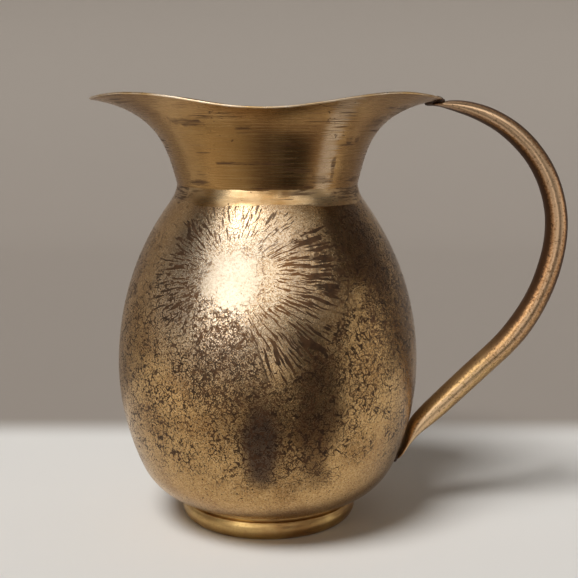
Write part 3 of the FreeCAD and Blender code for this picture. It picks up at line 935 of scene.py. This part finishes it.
# The foot's bead sits inside the band, against the belly's underside.
FOOT_BEAD_REACH, FOOT_BEAD_HEIGHT, FOOT_BEAD_HOLLOW = 3.4, 1.7, -0.25
foot_bead_r = BAND_INSIDE - FOOT_BEAD_REACH
foot_fillet = make_fillet("foot_fillet",
                          (BAND_INSIDE, underside_z(BAND_INSIDE) - FOOT_BEAD_HEIGHT),
                          (foot_bead_r, underside_z(foot_bead_r) + 0.02), FOOT_BEAD_HOLLOW,
                          (BAND_INSIDE - 0.01, underside_z(BAND_INSIDE) + 0.02), FOOT_BEAD_WAVES)
finish_piece(foot_fillet, BRAZE, "braze", "foot_braze")

# The lumps' balls, as (centre, half sizes): the upper ones' x is measured from the rim's rear
# edge, and the lower ones' x and z from the handle's lower tip.
UPPER_BALLS = [
    ((-4.2, 0.0, 208.6), (3.4, 6.2, 1.3)),
    ((-0.8, -1.5, 208.7), (2.4, 5.4, 1.5)),
    ((-2.8, 3.5, 208.5), (2.8, 4.2, 1.3)),
    ((-2.4, 0.2, 209.6), (3.2, 4.8, 1.5)),
    ((-5.4, 0.4, 207.5), (2.6, 4.6, 1.3)),
]
LOWER_BALLS = [
    ((-0.9, 0.0, 0.6), (1.7, 5.2, 2.1)),
    ((-0.2, -2.2, 2.4), (1.3, 3.4, 2.2)),
    ((-0.5, 2.6, 1.6), (1.4, 3.2, 2.0)),
]
tip, _ = handle_point(SQUASH[-1][0])
lumps = [
    ("rim_braze_lump", UPPER_BALLS, (AXIS_X + REAR_REACH, 0.0), 3.0, "handle_upper_braze"),
    ("belly_braze_lump", LOWER_BALLS, (tip[0], tip[2]), 7.0, "handle_lower_braze"),
]
for name, balls, (from_x, from_z), seed, node in lumps:
    placed = [((from_x + x, y, from_z + z), halves) for (x, y, z), halves in balls]
    finish_piece(make_lump(name, placed, seed), BURNT, "burnt_braze", node)

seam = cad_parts["belly_seam_braze"]
seam.data.materials.clear()
seam.data.materials.append(BRAZE)


# ------------------------------------ stage, lights and camera

LAMP_COLOUR = (1.0, 0.98, 0.95)
CARD_COLOUR = (1.0, 0.93, 0.86, 1.0)
# How far behind the jug's middle, in metres, the pale floor starts and has finished to darken.
PALE_UNTIL, GREY_FROM = 0.115, 0.165


def floor_material():
    """Pale where the jug stands, and warm grey behind it and up the wall."""
    g = Graph("pale_floor")
    where = g.add("ShaderNodeTexCoord", {}).outputs["Object"]
    _, behind, height = g.split(where)
    cloud = g.noise(where, 3.0, 3.0, 0.5)
    pale = g.mix(cloud, (0.79, 0.785, 0.77), (0.82, 0.815, 0.80))
    grey = g.mix(g.step(height, 0.0, 0.5), (0.34, 0.305, 0.275), (0.47, 0.43, 0.39))
    colour = g.mix(g.step(behind, PALE_UNTIL, GREY_FROM), pale, grey)
    material = g.shade(colour, 0.9, 0.0)
    shader = material.node_tree.nodes["Principled BSDF"]
    shader.inputs["Specular IOR Level"].default_value = 0.0
    return material


def make_sweep():
    """A pale floor that curves up into a plain wall far behind the jug."""
    behind, bend, width, front, top, steps = 1.5, 0.5, 5.0, -3.5, 3.5, 16
    profile = [(front, 0.0), (-1.0, 0.0), (0.0, 0.0), (behind - bend, 0.0)]
    for i in range(1, steps + 1):
        a = math.pi / 2 * i / steps
        profile.append((behind - bend + bend * math.sin(a), bend - bend * math.cos(a)))
    profile.append((behind, top))
    verts = [(x, y, z) for y, z in profile for x in (-width, width)]
    faces = [(2 * i, 2 * i + 1, 2 * i + 3, 2 * i + 2) for i in range(len(profile) - 1)]
    mesh = bpy.data.meshes.new("floor_sweep")
    mesh.from_pydata(verts, [], faces)
    for face in mesh.polygons:
        face.use_smooth = True
    floor = add_object("floor_sweep", mesh)
    floor.data.materials.append(floor_material())


def make_card(name, corners, tone):
    """A plain card that only shows in reflections, as the room or the table does there."""
    mesh = bpy.data.meshes.new(name)
    mesh.from_pydata(corners, [], [range(len(corners))])
    g = Graph(name)
    where = g.split(g.add("ShaderNodeTexCoord", {}).outputs["Object"])
    inputs = {"Color": CARD_COLOUR, "Strength": tone(g, *where)}
    glow = g.add("ShaderNodeEmission", inputs)
    output = g.tree.nodes.new("ShaderNodeOutputMaterial")
    g.tree.links.new(glow.outputs[0], output.inputs[0])
    mesh.materials.append(g.material)
    card = add_object(name, mesh)
    card.visible_camera = False
    card.visible_diffuse = False
    card.visible_shadow = False


def room_tone(g, x, _, z):
    """The room: darkest in front and towards the handle, lighter aside and towards the ceiling."""
    aside = g.step(g.away(x, 0.58), 0.25, 0.78)
    return g.total(0.05, g.product(aside, 0.38), g.product(g.step(z, 0.15, 0.8), 0.05))


def table_tone(g, x, y, _):
    """The table, pale close to the jug and to the sides and in shade towards the camera."""
    across = g.math("DIVIDE", x, g.math("MAXIMUM", g.product(y, -1.0), 0.05))
    left, right = g.step(across, 0.35, -1.0), g.step(across, 0.90, 1.40)
    near = g.step(y, -0.20, -0.10)
    far = g.product(g.step(y, -0.46, -0.64), g.step(across, 0.38, 0.20), 0.85)
    pale = g.largest(left, right, near, far)
    return g.total(0.045, g.product(pale, 0.64), g.product(g.step(across, -0.9, -2.5), 0.30))


def direction(azimuth, elevation):
    """Towards a light. Azimuth 0 is the front, + towards the handle."""
    a, e = math.radians(azimuth), math.radians(elevation)
    return Vector((math.sin(a) * math.cos(e), -math.cos(a) * math.cos(e), math.sin(e)))


def add_lamp(name, kind, back):
    """A lamp of a kind, with the direction that points back at it."""
    light = add_object(name, bpy.data.lights.new(name, kind))
    light.data.color = LAMP_COLOUR
    light.rotation_euler = back.to_track_quat("Z", "Y").to_euler()
    return light


def make_light(name, azimuth, elevation, distance, width, height, radiance):
    """An area light that faces the jug's middle and only shows in reflections."""
    back = direction(azimuth, elevation)
    light = add_lamp(name, "AREA", back)
    light.data.shape = "RECTANGLE"
    light.data.size = width
    light.data.size_y = height
    light.data.energy = radiance * math.pi * width * height
    light.location = Vector((AXIS_X, 0, JUG_MIDDLE)) * MM + back * distance
    light.visible_camera = False
    light.visible_diffuse = False


def make_sun(azimuth, elevation, strength, spread):
    """Even, soft daylight, with the shadow falling behind and to the right."""
    sun = add_lamp("floor_sun", "SUN", direction(azimuth, elevation))
    sun.data.energy = strength
    sun.data.angle = math.radians(spread)
    sun.visible_glossy = False


def make_world():
    """Soft room light: brightest from the horizon down, dimmer overhead."""
    world = bpy.data.worlds.new("studio")
    world.use_nodes = True
    nodes, links = world.node_tree.nodes, world.node_tree.links
    where = nodes.new("ShaderNodeTexCoord")
    parts = nodes.new("ShaderNodeSeparateXYZ")
    ramp = nodes.new("ShaderNodeValToRGB")
    links.new(where.outputs["Generated"], parts.inputs[0])
    links.new(parts.outputs[2], ramp.inputs[0])
    low, high = ramp.color_ramp.elements
    low.position, low.color = 0.10, (0.50, 0.465, 0.43, 1)
    high.position, high.color = 0.50, (0.075, 0.07, 0.065, 1)
    links.new(ramp.outputs[0], nodes["Background"].inputs["Color"])
    nodes["Background"].inputs["Strength"].default_value = 1.0
    bpy.context.scene.world = world


def make_camera():
    """The camera: in front of the jug and a little to the right, looking slightly down."""
    aside, ahead, height = 10.6, 520.7, 203.3
    down = 9.57
    data = bpy.data.cameras.new("camera")
    data.lens = 65.4
    data.sensor_width = 36.0
    data.clip_start = 0.01
    camera = add_object("camera", data)
    camera.location = Vector((AXIS_X + aside, -ahead, height)) * MM
    camera.rotation_euler = (math.radians(90 - down), 0, 0)
    bpy.context.scene.camera = camera


# The height the lights face, in millimetres, and the lights: azimuth and elevation in degrees,
# then distance, width and height in metres, and radiance.
JUG_MIDDLE = 110
LIGHTS = {
    "window": (-5, 50, 1.2, 2.4, 0.95, 1.35),
    "low_window": (-14, 19, 1.2, 1.5, 0.44, 2.75),
    "side_window": (84, 6, 1.2, 0.45, 0.45, 0.60),
    "skylight": (-43, 64, 1.0, 0.30, 0.32, 6.0),
    "doorway": (6, 0, 1.0, 0.14, 0.20, 2.4),
}
# The cards' corners, in metres: the room's wall towards the camera, and the table up to it.
WALL_LEFT, WALL_RIGHT, WALL_Y, WALL_TOP = -1.3, 1.4, -1.1, 0.6
TABLE_HALF, TABLE_Y, TABLE_Z = 0.5, -0.10, 0.001
ROOM = [(WALL_LEFT, WALL_Y, 0), (WALL_RIGHT, WALL_Y, 0),
        (WALL_RIGHT, WALL_Y, WALL_TOP), (WALL_LEFT, WALL_Y, WALL_TOP)]
TABLE = [(-TABLE_HALF, TABLE_Y, TABLE_Z), (TABLE_HALF, TABLE_Y, TABLE_Z),
         (WALL_RIGHT, WALL_Y, TABLE_Z), (WALL_LEFT, WALL_Y, TABLE_Z)]

make_sweep()
make_world()
for name, setting in LIGHTS.items():
    make_light(name, *setting)
make_sun(azimuth=-41, elevation=62, strength=2.4, spread=24.0)
make_card("room_card", ROOM, room_tone)
make_card("table_card", TABLE, table_tone)
make_camera()
bpy.context.scene.view_settings.view_transform = "Standard"
